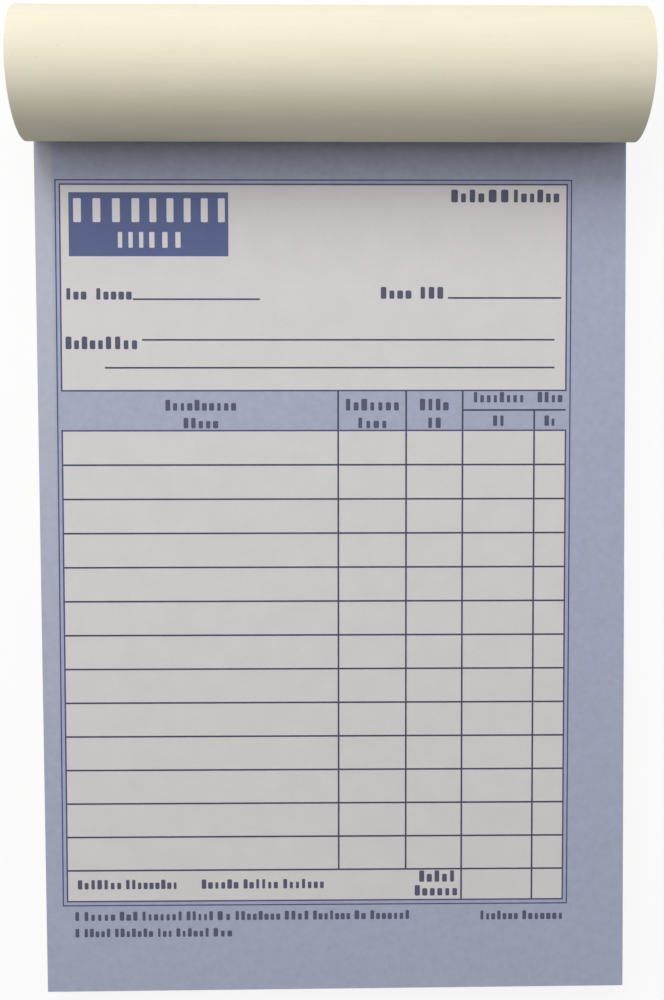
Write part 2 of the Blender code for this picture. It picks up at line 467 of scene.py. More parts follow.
class Wiring:
    """Adds nodes to one tree and links them."""

    MIX_FACTOR, MIX_FIRST, MIX_SECOND, MIX_RESULT = 0, 6, 7, 2
    NOISE_ROUGHNESS = 0.55

    def __init__(self, tree: bpy.types.NodeTree) -> None:
        """Start on a tree as it is."""
        self.tree = tree

    def feed(self, target: Socket, value: Value) -> None:
        """Link a socket to an input, or set the input's own value.

        Args:
            target: The input.
            value: The socket or the value.
        """
        if isinstance(value, Socket):
            self.tree.links.new(value, target)
        elif isinstance(value, tuple) and target.type == "RGBA":
            target.default_value = (*value, 1.0)
        else:
            target.default_value = value

    def add(self, kind: str, inputs: dict[str | int, Value] | None = None, **options: object) -> Node:
        """Add a node.

        Args:
            kind: The node's type.
            inputs: Values or sockets for its inputs, by name or number.
            **options: Its own settings.

        Returns:
            The new node.
        """
        node = self.tree.nodes.new(kind)
        for name, option in options.items():
            setattr(node, name, option)
        for key, value in (inputs or {}).items():
            self.feed(node.inputs[key], value)
        return node

    def noise(self, place: Socket, scale: Value, detail: float) -> Socket:
        """Cloudy values about one half."""
        inputs = {"Vector": place, "Scale": scale, "Detail": detail, "Roughness": self.NOISE_ROUGHNESS}
        return self.add("ShaderNodeTexNoise", inputs).outputs["Fac"]

    def full_noise(self, place: Socket, scale: Value, detail: float) -> Socket:
        """Cloudy values from 0 to 1."""
        return self.remap(self.noise(place, scale, detail), NOISE_REACH, UNIT)

    def math(self, operation: str, first: Value, second: Value = 0.0) -> Socket:
        """One step of arithmetic."""
        inputs = dict(enumerate((first, second)))
        return self.add("ShaderNodeMath", inputs, operation=operation).outputs[0]

    def remap(self, value: Value, start: Span, end: Span) -> Socket:
        """Move values from one stretch to another.

        Args:
            value: The values.
            start: The stretch that they come from.
            end: The stretch that they go to, and are held in.

        Returns:
            The moved values.
        """
        inputs = {"Value": value, "From Min": start.low, "From Max": start.high}
        inputs |= {"To Min": end.low, "To Max": end.high}
        return self.add("ShaderNodeMapRange", inputs, clamp=True).outputs["Result"]

    def mix(self, factor: Value, first: Value, second: Value) -> Socket:
        """A colour between two colours."""
        inputs = {self.MIX_FACTOR: factor, self.MIX_FIRST: first, self.MIX_SECOND: second}
        return self.add("ShaderNodeMix", inputs, data_type="RGBA").outputs[self.MIX_RESULT]

    def mix_shaders(self, factor: Value, first: Node, second: Node) -> Socket:
        """A shader between two shaders."""
        inputs = dict(enumerate((factor, first.outputs[0], second.outputs[0])))
        return self.add("ShaderNodeMixShader", inputs).outputs[0]

    def stretch(self, place: Socket, scale: Triple) -> Socket:
        """Coordinates scaled by axis."""
        return self.add("ShaderNodeMapping", {"Vector": place, "Scale": scale}).outputs["Vector"]

    def apart(self, place: Socket) -> tuple[Socket, Socket, Socket]:
        """Coordinates one by one."""
        return tuple(self.add("ShaderNodeSeparateXYZ", {"Vector": place}).outputs)

    def effect(self, group: bpy.types.NodeTree, place: Socket, **values: float) -> Node:
        """Place a shared effect, with its inputs' names in small letters and _ for a space."""
        inputs = {name.replace("_", " ").title(): value for name, value in values.items()}
        return self.add("ShaderNodeGroup", {"Vector": place, **inputs}, node_tree=group)


class Effects:
    """Surface effects that several finishes share, as node groups."""

    CLOUD_DETAIL = 3.0
    TOOTH_DETAIL = 2.0
    STRAND_DETAIL = 4.0
    STRAND_STRETCH = (0.06, 1.0, 1.0)
    FLECK_DETAIL = 2.0
    FLECK_STRETCH = (1.0, 2.2, 1.0)
    FLECK_EDGE = Span(0.0, 0.06)

    @staticmethod
    def start(name: str, inputs: Iterable[str], outputs: Iterable[str]) -> tuple[Wiring, Node]:
        """Start a group that reads a place on the piece.

        Args:
            name: Name of the group.
            inputs: Names of its number inputs, after Vector.
            outputs: Names of its outputs.

        Returns:
            The group's wiring and its input node.
        """
        group = bpy.data.node_groups.new(name, "ShaderNodeTree")
        group.interface.new_socket(name="Vector", in_out="INPUT", socket_type="NodeSocketVector")
        for in_out, labels in (("INPUT", inputs), ("OUTPUT", outputs)):
            for label in labels:
                group.interface.new_socket(name=label, in_out=in_out, socket_type="NodeSocketFloat")
        wiring = Wiring(group)
        return wiring, wiring.add("NodeGroupInput")

    @classmethod
    @lru_cache
    def pulp(cls) -> bpy.types.NodeTree:
        """Clouds and fine tooth of paper and card.

        Returns:
            A group that gives Tone, from 0 to 1, and Tooth, a height.
        """
        wiring, source = cls.start("pulp", ("Cloud Scale", "Tooth Scale", "Tooth Share"), ("Tone", "Tooth"))
        place, share = source.outputs["Vector"], source.outputs["Tooth Share"]
        cloud = wiring.full_noise(place, source.outputs["Cloud Scale"], cls.CLOUD_DETAIL)
        tooth = wiring.full_noise(place, source.outputs["Tooth Scale"], cls.TOOTH_DETAIL)
        kept = wiring.math("MULTIPLY", cloud, wiring.math("SUBTRACT", 1.0, share))
        tone = wiring.math("ADD", kept, wiring.math("MULTIPLY", tooth, share))
        wiring.add("NodeGroupOutput", {"Tone": tone, "Tooth": tooth})
        return wiring.tree

    @classmethod
    @lru_cache
    def strands(cls) -> bpy.types.NodeTree:
        """Strands that run across the page, as the grain of rolled card and drawn wire.

        Returns:
            A group that gives Strand, from 0 to 1.
        """
        wiring, source = cls.start("strands", ("Width Scale",), ("Strand",))
        long_ways = wiring.stretch(source.outputs["Vector"], cls.STRAND_STRETCH)
        strand = wiring.full_noise(long_ways, source.outputs["Width Scale"], cls.STRAND_DETAIL)
        wiring.add("NodeGroupOutput", {"Strand": strand})
        return wiring.tree

    @classmethod
    @lru_cache
    def flecks(cls) -> bpy.types.NodeTree:
        """Scattered flecks, such as fibres in waste board and pinholes in ink.

        Returns:
            A group that gives Fleck, which is 1 inside a fleck.
        """
        wiring, source = cls.start("flecks", ("Scale", "Amount"), ("Fleck",))
        drawn_out = wiring.stretch(source.outputs["Vector"], cls.FLECK_STRETCH)
        spots = wiring.noise(drawn_out, source.outputs["Scale"], cls.FLECK_DETAIL)
        edge = wiring.math("SUBTRACT", 1.0, source.outputs["Amount"])
        over = wiring.math("SUBTRACT", spots, edge)
        wiring.add("NodeGroupOutput", {"Fleck": wiring.remap(over, cls.FLECK_EDGE, UNIT)})
        return wiring.tree


@dataclass
class Surface:
    """A surface as a finish works on it, before it goes to the shader."""

    wiring: Wiring
    place: Socket
    colour: Socket
    height: Socket
    tone: Socket

    def tinge(self, share: Value, colour: Colour) -> None:
        """Mix a share of another colour into the surface's own."""
        self.colour = self.wiring.mix(share, self.colour, colour)

    def strew(self, colour: Colour, depth: float, scale: float, amount: float) -> None:
        """Strew flecks over the surface, which they hide as far as their depth says."""
        flecks = self.wiring.effect(Effects.flecks(), self.place, scale=scale, amount=amount)
        self.tinge(self.wiring.math("MULTIPLY", flecks.outputs["Fleck"], depth), colour)

    def strands(self, scale: float) -> Socket:
        """Strands of the surface, from 0 to 1."""
        return self.wiring.effect(Effects.strands(), self.place, width_scale=scale).outputs["Strand"]


@dataclass(frozen=True)
class Finish:
    """A matt surface of pulp: the ground of paper, card and board."""

    name: str
    colour: Colour
    contrast: float = 0.04
    cloud_scale: float = 160.0
    tooth_scale: float = 2800.0
    tooth_share: float = 0.5
    tooth_height: float = 0.01 * MM
    tooth_strength: float = 0.25
    roughness: Span = Span(0.84, 0.94)
    shine: float = 0.2
    metallic: float = 0.0
    sheen: float = 0.0

    def shade(self, factor: float) -> Colour:
        """The finish's colour, lighter or darker."""
        return tuple(min(part * factor, 1.0) for part in self.colour)

    def ground(self, wiring: Wiring) -> Surface:
        """The bare pulp.

        Args:
            wiring: The material's wiring.

        Returns:
            The pulp's surface.
        """
        place = wiring.add("ShaderNodeTexCoord").outputs["Object"]
        scales = {"cloud_scale": self.cloud_scale, "tooth_scale": self.tooth_scale}
        pulp = wiring.effect(Effects.pulp(), place, tooth_share=self.tooth_share, **scales)
        tone = pulp.outputs["Tone"]
        colour = wiring.mix(tone, self.shade(1.0 - self.contrast), self.shade(1.0 + self.contrast))
        return Surface(wiring, place, colour, pulp.outputs["Tooth"], tone)

    def work(self, surface: Surface) -> None:
        """Add to the pulp what the finish has besides it. Plain paper has nothing."""

    def material(self) -> Material:
        """Make the material.

        Returns:
            A new material with this finish.
        """
        material = bpy.data.materials.new(self.name)
        material.use_nodes = True
        material.diffuse_color = (*self.colour, 1.0)
        wiring = Wiring(material.node_tree)
        surface = self.ground(wiring)
        self.work(surface)
        relief = {"Strength": self.tooth_strength, "Distance": self.tooth_height, "Height": surface.height}
        looks = {
            "Base Color": surface.colour,
            "Normal": wiring.add("ShaderNodeBump", relief).outputs["Normal"],
            "Roughness": wiring.remap(surface.tone, UNIT, self.roughness),
            "Specular IOR Level": self.shine,
            "Metallic": self.metallic,
            "Sheen Weight": self.sheen,
        }
        shader = next(node for node in wiring.tree.nodes if node.type == "BSDF_PRINCIPLED")
        for name, look in looks.items():
            wiring.feed(shader.inputs[name], look)
        return material


@dataclass(frozen=True)
class CardFinish(Finish):
    """Uncoated card, with strands across the page and a few darker fibres."""

    strand_scale: float = 900.0
    strand_depth: float = 0.05
    strand_shade: float = 0.45
    fibre_scale: float = 420.0
    fibre_amount: float = 0.29
    fibre_depth: float = 0.14
    fibre_shade: float = 0.6

    def work(self, surface: Surface) -> None:
        """Add strands and fibres.

        Args:
            surface: The card's pulp.
        """
        wiring = surface.wiring
        strand = surface.strands(self.strand_scale)
        surface.tinge(wiring.math("MULTIPLY", strand, self.strand_depth), self.shade(self.strand_shade))
        surface.strew(self.shade(self.fibre_shade), self.fibre_depth, self.fibre_scale, self.fibre_amount)
        surface.height = wiring.math("ADD", surface.height, strand)


WHITE_PAPER: Colour = (0.68, 0.66, 0.665)


@dataclass(frozen=True)
class InkFinish(Finish):
    """Printing ink on paper, which shows through it in pinholes."""

    contrast: float = 0.12
    paper: Colour = WHITE_PAPER
    pinhole_scale: float = 3600.0
    pinhole_amount: float = 0.36
    pinhole_depth: float = 0.25

    def work(self, surface: Surface) -> None:
        """Let the paper show in pinholes."""
        surface.strew(self.paper, self.pinhole_depth, self.pinhole_scale, self.pinhole_amount)


@dataclass(frozen=True)
class TintFinish(InkFinish):
    """A light printed ground, lighter towards the paper's colour along the upper part of the left margin."""

    contrast: float = 0.075
    cloud_scale: float = 600.0
    tooth_share: float = 0.33
    pinhole_depth: float = 0.22
    # Where along the upper left margin the ground is lightened, and by how much.
    lightening_across: Span = Span(-0.0664, -0.0654)
    lightening_along: Span = Span(-0.07, 0.06)
    lightening_depth: float = 0.3

    def work(self, surface: Surface) -> None:
        """Add pinholes, and lighten the ground towards the paper's colour along the upper part of the left
        margin.

        Args:
            surface: The ink's pulp.
        """
        super().work(surface)
        wiring = surface.wiring
        x, y, _ = wiring.apart(surface.place)
        left = wiring.remap(x, self.lightening_across, Span(1.0, 0.0))
        upper = wiring.remap(y, self.lightening_along, UNIT)
        # Mixes the paper's colour into the tint along the upper part of the left margin.
        margin_lightening = wiring.math("MULTIPLY", wiring.math("MULTIPLY", left, upper), self.lightening_depth)
        surface.tinge(margin_lightening, self.paper)


@dataclass(frozen=True)
class BoardFinish(Finish):
    """Greyboard of waste paper, with light and dark flecks."""

    light_fleck: Colour = (0.52, 0.49, 0.44)
    light_scale: float = 520.0
    dark_fleck: Colour = (0.12, 0.12, 0.13)
    dark_scale: float = 712.4
    fleck_amount: float = 0.4
    fleck_depth: float = 0.55

    def work(self, surface: Surface) -> None:
        """Strew the light flecks, then the dark ones."""
        surface.strew(self.light_fleck, self.fleck_depth, self.light_scale, self.fleck_amount)
        surface.strew(self.dark_fleck, self.fleck_depth, self.dark_scale, self.fleck_amount)


@dataclass(frozen=True)
class ClothFinish(Finish):
    """Plain woven binding cloth, which runs round the head of the book."""

    thread: float = 0.42 * MM
    # How much painted shade the weave's valleys get, and how dark it is.
    valley_shadow_share: float = 0.45
    valley_shadow_tone: float = 0.35
    sheen: float = 0.25

    def work(self, surface: Surface) -> None:
        """Weave the threads, and paint shade into the valleys between them.

        Args:
            surface: The ground under the weave.
        """
        wiring = surface.wiring
        x, y, z = wiring.apart(surface.place)
        turns = math.pi / self.thread
        warp = wiring.math("SINE", wiring.math("MULTIPLY", x, turns))
        weft = wiring.math("SINE", wiring.math("MULTIPLY", wiring.math("SUBTRACT", y, z), turns))
        surface.height = wiring.remap(wiring.math("MULTIPLY", warp, weft), Span(-1.0, 1.0), UNIT)
        # Painted shade: the colour darkens where the weave's height is low, in the valleys between threads.
        painted_valley_shade = wiring.math("MULTIPLY", wiring.math("SUBTRACT", 1.0, surface.height), self.valley_shadow_share)
        surface.tinge(painted_valley_shade, self.shade(self.valley_shadow_tone))


@dataclass(frozen=True)
class WireFinish(Finish):
    """Drawn steel wire."""

    strand_scale: float = 5200.0
    metallic: float = 1.0

    def work(self, surface: Surface) -> None:
        """Let height and roughness follow the strands."""
        surface.height = surface.tone = surface.strands(self.strand_scale)


class Papers:
    """Materials of the form papers, bare and tinted, made once for all leaves.

    KEPT is the share of each primary that a paper keeps under the tint.
    """

    COLOURS: dict[Ply, Colour] = {
        Ply.ORIGINAL: WHITE_PAPER,
        Ply.DUPLICATE: (0.80, 0.50, 0.55),
        Ply.TRIPLICATE: (0.84, 0.71, 0.36),
    }
    KEPT: Colour = (0.58, 0.64, 0.83)

    def __init__(self) -> None:
        """Make the six materials."""
        self.bare: dict[Ply, Material] = {}
        self.tinted: dict[Ply, Material] = {}
        for ply, paper in self.COLOURS.items():
            tint = tuple(part * share for part, share in zip(paper, self.KEPT))
            self.bare[ply] = Finish(f"{ply.value}_form_paper", paper).material()
            self.tinted[ply] = TintFinish(f"{ply.value}_tint", tint, paper=paper).material()


@dataclass(frozen=True)
class PageBlock:
    """Sizes of the bound pages, read from the frame."""

    across: Span
    foot: float
    head: float
    tear: float

    @classmethod
    def from_frame(cls) -> "PageBlock":
        """Read the sizes of the pages."""
        low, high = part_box("set_02")
        return cls(Span(low.x, high.x), low.y, high.y, joint_place("original_lift").y)


@dataclass(frozen=True)
class TextLine:
    """A line of words in millimetres, drawn as plain blocks, one for each letter's place."""

    left: float
    low: float
    height: float
    words: tuple[float, ...]
    gap: float = 1.2
    capitals: bool = False

    PITCH_SHARE = 0.62
    BLOCK_SHARE = 0.6
    CAPITAL_SHARE = 0.4
    WIDTH_REACH = (0.75, 1.25)
    SMALL_SHARE = 0.7
    TALL_CHANCE = 0.28

    def boxes(self) -> list[Box2D]:
        """The blocks of the line.

        Returns:
            Boxes in metres, from left to right.
        """
        draw = random.Random(f"{self.left} {self.low}")
        share = self.CAPITAL_SHARE if self.capitals else self.BLOCK_SHARE
        made = []
        left = self.left
        for word in self.words:
            count = max(1, round(word / (self.height * self.PITCH_SHARE)))
            pitch = word / (count - 1 + share)
            block = pitch * share
            for index in range(count):
                tall = self.capitals or index == 0 or draw.random() < self.TALL_CHANCE
                top = self.low + self.height * (1.0 if tall else self.SMALL_SHARE)
                middle = left + index * pitch + block / 2
                half = block / 2 * (1.0 if self.capitals else draw.uniform(*self.WIDTH_REACH))
                across = Span((middle - half) * MM, (middle + half) * MM)
                made.append(Box2D(across, Span(self.low * MM, top * MM)))
            left += word + self.gap
        return made


def centred(middle: float, low: float, height: float, word: float) -> TextLine:
    """A line of one word, set about the middle of its column."""
    return TextLine(middle - word / 2, low, height, (word,))


@dataclass(frozen=True)
class Form:
    """The printed form. Places are measured from the lower left corner of its outer frame."""

    page: PageBlock
    width: float = 122.2 * MM
    height: float = 174.1 * MM
    middle_x: float = -4.44 * MM
    middle_above_foot: float = 107.98 * MM
    turn: float = math.radians(-0.27)
    border: float = 1.02 * MM
    panel_low: float = 124.46 * MM
    table_high: float = 114.95 * MM
    total_high: float = 8.6 * MM
    rows: int = 13
    columns: tuple[float, ...] = (66.75 * MM, 83.0 * MM, 96.5 * MM, 113.65 * MM)
    split: float = 119.8 * MM
    frame_line: float = 0.3 * MM
    edge_line: float = 0.36 * MM
    table_line: float = 0.41 * MM
    rule: float = 0.4 * MM
    title: Box2D = Box2D(Span(3.1 * MM, 40.8 * MM), Span(156.2 * MM, 171.2 * MM))

    def to_page(self) -> Matrix:
        """Work out where the form lies.

        Returns:
            The move from the form's own corner to its place on the page.
        """
        middle = Vector((self.middle_x, self.page.foot + self.middle_above_foot, 0.0))
        corner = Vector((-self.width / 2, -self.height / 2, 0.0))
        return Matrix.Translation(middle) @ Matrix.Rotation(self.turn, 4, "Z") @ Matrix.Translation(corner)

    @property
    def inner(self) -> Span:
        """Reach across the form inside its border."""
        return Span(self.border, self.width - self.border)

    @property
    def panel(self) -> Box2D:
        """The bare panel at the form's head."""
        return Box2D(self.inner, Span(self.panel_low, self.height - self.border))

    @property
    def table(self) -> Box2D:
        """The bare ground of the table."""
        return Box2D(self.inner, Span(self.border, self.table_high))

    def is_bare(self, point: Vector) -> bool:
        """Whether a point of the page has no tint on it."""
        own = self.to_page().inverted() @ point
        return self.panel.holds(own) or self.table.holds(own)

    def frame_bars(self) -> list[Box2D]:
        """Bars of the outer frame, then those round the panel and the table."""
        outer = Box2D(Span(0.0, self.width), Span(0.0, self.height)).outline(self.frame_line)
        return outer + self.panel.outline(self.edge_line) + self.table.outline(self.edge_line)

    def table_bars(self) -> list[Box2D]:
        """Lay out the table's rows and columns.

        Returns:
            Their bars, which run into the frame.
        """
        pitch = (self.table_high - self.total_high) / self.rows
        levels = [self.total_high + row * pitch for row in range(self.rows)]
        bars = [level_bar(level, self.inner, self.table_line) for level in levels]
        bars.append(level_bar(self.split, Span(self.columns[2], self.inner.high), self.table_line))
        reaches = (
            Span(self.total_high, self.panel_low),
            Span(self.total_high, self.panel_low),
            Span(self.border, self.panel_low),
            Span(self.border, self.split),
        )
        bars += [upright_bar(u, reach, self.table_line) for u, reach in zip(self.columns, reaches)]
        return bars

    def rules(self) -> list[Box2D]:
        """Writing rules in the head panel."""
        places = ((146.1, 18.1, 48.2), (146.4, 92.9, 119.9), (136.5, 20.2, 118.4), (129.9, 11.3, 118.4))
        return [level_bar(v * MM, Span(left * MM, right * MM), self.rule) for v, left, right in places]

    def title_bars(self) -> list[Box2D]:
        """Lay out the title box.

        Returns:
            The light bars in it.
        """
        lines = (
            TextLine(4.2, 164.2, 5.6, (15.6, 17.8), 2.4, capitals=True),
            TextLine(14.7, 158.2, 3.7, (6.0, 7.4), 1.4, capitals=True),
        )
        return [box for line in lines for box in line.boxes()]

    def words(self) -> list[Box2D]:
        """Lay out the small words.

        Returns:
            Their bars.
        """
        item, quantity, rate, amount, cents = 34.0, 74.9, 89.7, 105.1, 117.4
        upper, lower, split_upper, split_lower = 119.7, 115.5, 121.6, 116.0
        lines = (
            TextLine(93.8, 168.9, 3.0, (7.6, 4.6, 10.8)),
            TextLine(2.3, 146.0, 2.7, (4.7, 8.3), 2.4),
            TextLine(77.0, 146.2, 2.8, (7.1, 5.4), 2.2),
            TextLine(2.2, 134.3, 3.0, (10.6, 5.2), 1.0),
            centred(item, upper, 2.6, 16.7),
            centred(item, lower, 2.5, 8.1),
            centred(quantity, upper, 2.8, 12.7),
            centred(quantity, lower, 2.5, 6.9),
            centred(rate, upper, 2.8, 6.7),
            centred(rate, lower, 2.5, 3.1),
            centred(amount, split_upper, 2.5, 12.0),
            centred(cents, split_upper, 2.5, 5.8),
            centred(amount, split_lower, 2.5, 2.6),
            centred(cents, split_lower, 2.5, 2.4),
            TextLine(3.6, 4.0, 2.3, (10.4, 12.3), 1.2),
            TextLine(33.6, 4.0, 2.3, (8.7, 8.2, 9.8), 1.4),
            centred(90.6, 5.4, 2.8, 8.5),
            centred(90.4, 2.0, 2.6, 10.2),
            TextLine(2.75, -3.75, 2.2, (1.1, 7.4, 4.2, 9.6, 6.3, 3.1, 10.8, 5.7, 8.9, 2.6, 9.4)),
            TextLine(2.75, -7.8, 2.1, (1.1, 6.2, 9.1, 3.4, 7.8, 4.4)),
            TextLine(101.2, -4.0, 2.2, (9.1, 9.7)),
        )
        return [box for line in lines for box in line.boxes()]


@dataclass
class FormPrint:
    """Print of one form, as plates of ink that lie on a leaf."""

    form: Form
    word_roundness: float = 0.5
    title_roundness: float = 0.3
    light_lift: float = 1.25
    line_ink: InkFinish = InkFinish("line_ink", (0.072, 0.072, 0.125))
    frame_ink: InkFinish = InkFinish("frame_ink", (0.088, 0.088, 0.2))
    word_ink: InkFinish = InkFinish("word_ink", (0.1, 0.102, 0.165))
    title_ink: InkFinish = InkFinish("title_ink", (0.11, 0.137, 0.28), 0.07, pinhole_depth=0.12)
    pattern: Piece | None = None

    LINE_SLOT, FRAME_SLOT = range(2)

    def line_work(self) -> Piece:
        """The frame and the table as one flat net, with their inks.

        Returns:
            The net, in the form's own place.
        """
        frame_bars = self.form.frame_bars()
        bars = frame_bars + self.form.table_bars()
        net = Bench.plane("line_work", frame_bars[2].across, frame_bars[0].along)
        with Bench.shaping(net):
            for u in sorted({end for bar in bars for end in bar.across.ends})[1:-1]:
                Bench.cut(net, Axis.ACROSS, u)
            for v in sorted({end for bar in bars for end in bar.along.ends})[1:-1]:
                Bench.cut(net, Axis.ALONG, v)
            Bench.choose(net, Element.FACE, lambda point: not any(bar.holds(point) for bar in bars))
            bpy.ops.mesh.delete(type="FACE")
        Bench.dress(net, self.line_ink.material(), self.frame_ink.material())
        for face in net.data.polygons:
            framed = any(bar.holds(face.center) for bar in frame_bars)
            face.material_index = self.FRAME_SLOT if framed else self.LINE_SLOT
        return net

    def model(self) -> None:
        """Model the pattern that each leaf's print is copied from, flat at height 0."""
        net = self.line_work()
        words = Bench.bars("words", self.form.words(), self.word_roundness)
        rules = Bench.bars("rules", self.form.rules())
        title = Bench.bars("title", [self.form.title])
        Bench.dress(rules, net.data.materials[self.LINE_SLOT])
        Bench.dress(words, self.word_ink.material())
        Bench.dress(title, self.title_ink.material())
        self.pattern = Bench.join("form_pattern", net, title, words, rules)
        self.pattern.data.transform(self.form.to_page())

    def lay(self, name: str, level: float, depth: float, paper: Material) -> Piece:
        """Lay a copy of the print on a leaf.

        Args:
            name: Name of the piece.
            level: Height of the leaf's face.
            depth: Thickness of the ink.
            paper: Bare paper, for the light bars in the title box.

        Returns:
            The new print.
        """
        ink = Bench.twin(self.pattern, f"{name}_ink")
        ink.data.transform(Matrix.Translation((0.0, 0.0, level + depth)))
        Bench.thicken_down(ink, depth)
        light = Bench.bars(f"{name}_light", self.form.title_bars(), self.title_roundness)
        lift = depth * self.light_lift
        light.data.transform(Matrix.Translation((0.0, 0.0, level + lift)) @ self.form.to_page())
        Bench.thicken_down(light, lift - depth)
        Bench.dress(light, paper)
        return Bench.join(name, ink, light)


@dataclass
class SheetMaker:
    """Makes leaves of form paper, with the tint's edges cut into their faces."""

    page: PageBlock
    form: Form
    papers: Papers
    tie_pitch: float = 5.0 * MM
    tie_width: float = 1.5 * MM
    tear_cut: float = 0.3 * MM
    bend_length: float = 8.5 * MM
    bend_steps: int = 12
    slack: float = 0.03 * MM

    BARE_SLOT, TINT_SLOT = range(2)

    @property
    def row(self) -> float:
        """Length of paper between two cuts for the bend."""
        return self.bend_length / self.bend_steps

    def cut_windows(self, sheet: Piece) -> None:
        """Cut the sides of the bare panel and table into a sheet, in edit mode.

        Args:
            sheet: The flat sheet.
        """
        to_page = self.form.to_page()
        for window in (self.form.panel, self.form.table):
            for u in window.across.ends:
                Bench.cut(sheet, Axis.ACROSS, u, to_page)
            for v in window.along.ends:
                Bench.cut(sheet, Axis.ALONG, v, to_page)

    def add_ties(self, sheet: Piece, edge: float) -> None:
        """Grow the ties of the tear line from a sheet's upper edge, in edit mode.

        Args:
            sheet: The flat sheet.
            edge: Place of its upper edge.
        """
        count = round(self.page.across.length / self.tie_pitch)
        middles = [self.page.across.low + (index + 0.5) * self.tie_pitch for index in range(count)]
        half = self.tie_width / 2
        last_row = edge - self.row / 2 - self.tear_cut
        for middle in middles:
            for side in (middle - half, middle + half):
                Bench.cut(sheet, Axis.ACROSS, side, test=lambda point: point.y > last_row)
        near = half + self.slack
        Bench.choose(
            sheet,
            Element.EDGE,
            lambda point: point.y > edge - self.slack
            and any(abs(point.x - middle) < near for middle in middles),
        )
        self.keep_short_edges(sheet)
        Bench.extrude(0.0, self.tear_cut, 0.0)

    def keep_short_edges(self, sheet: Piece) -> None:
        """Leave only edges no longer than a tie selected, in edit mode.

        Args:
            sheet: The flat sheet.
        """
        mesh = bmesh.from_edit_mesh(sheet.data)
        for edge in mesh.edges:
            if edge.select and edge.calc_length() > self.tie_width + self.slack:
                edge.select_set(False)
        bmesh.update_edit_mesh(sheet.data)

    def lay(self, name: str, ply: Ply, level: Span, torn: bool) -> Piece:
        """Make one leaf.

        Args:
            name: Name of the piece.
            ply: Which copy it is, for its paper.
            level: Heights of its two faces.
            torn: Whether it ends in the ties of a tear line, or runs on to the head.

        Returns:
            The leaf, a closed plate.
        """
        end = self.page.tear - self.tear_cut if torn else self.page.head
        sheet = Bench.plane(name, self.page.across, Span(self.page.foot, end), level.high)
        with Bench.shaping(sheet):
            self.cut_windows(sheet)
            if torn:
                for step in range(1, self.bend_steps + 1):
                    Bench.cut(sheet, Axis.ALONG, end - step * self.row)
                self.add_ties(sheet, end)
        Bench.thicken_down(sheet, level.length)
        Bench.dress(sheet, self.papers.bare[ply], self.papers.tinted[ply])
        for face in sheet.data.polygons:
            tinted = face.normal.z > FACING and not self.form.is_bare(face.center)
            face.material_index = self.TINT_SLOT if tinted else self.BARE_SLOT
        return sheet


@dataclass
class TopSet:
    """The three loose leaves of the first set, with their print."""

    sheets: SheetMaker
    form_print: FormPrint
    top_ink: float = 0.024 * MM
    covered_ink: float = 0.006 * MM

    PARENTS = {
        Ply.ORIGINAL: Body.DUPLICATE,
        Ply.DUPLICATE: Body.TRIPLICATE,
        Ply.TRIPLICATE: Body.BOOK,
    }

    def build(self) -> list[Piece]:
        """Make the leaves and their print.

        Returns:
            Six pieces.
        """
        made = []
        tear, papers = self.sheets.page.tear, self.sheets.papers
        for ply in Ply:
            low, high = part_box(f"{ply.value}_leaf")
            level = Span(low.z, high.z)
            sheet = self.sheets.lay(f"{ply.value}_sheet", ply, level, torn=True)
            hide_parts(f"{ply.value}_leaf")
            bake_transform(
                sheet,
                self.PARENTS[ply].value,
                Body(ply.value).value,
                start=(0.0, tear, level.middle),
                end=(0.0, tear - self.sheets.bend_length, level.middle),
            )
            depth = self.top_ink if ply is Ply.ORIGINAL else self.covered_ink
            ink = self.form_print.lay(f"{ply.value}_print", high.z, depth, papers.bare[ply])
            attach(ink, Body(ply.value).value)
            made += [sheet, ink]
        return made


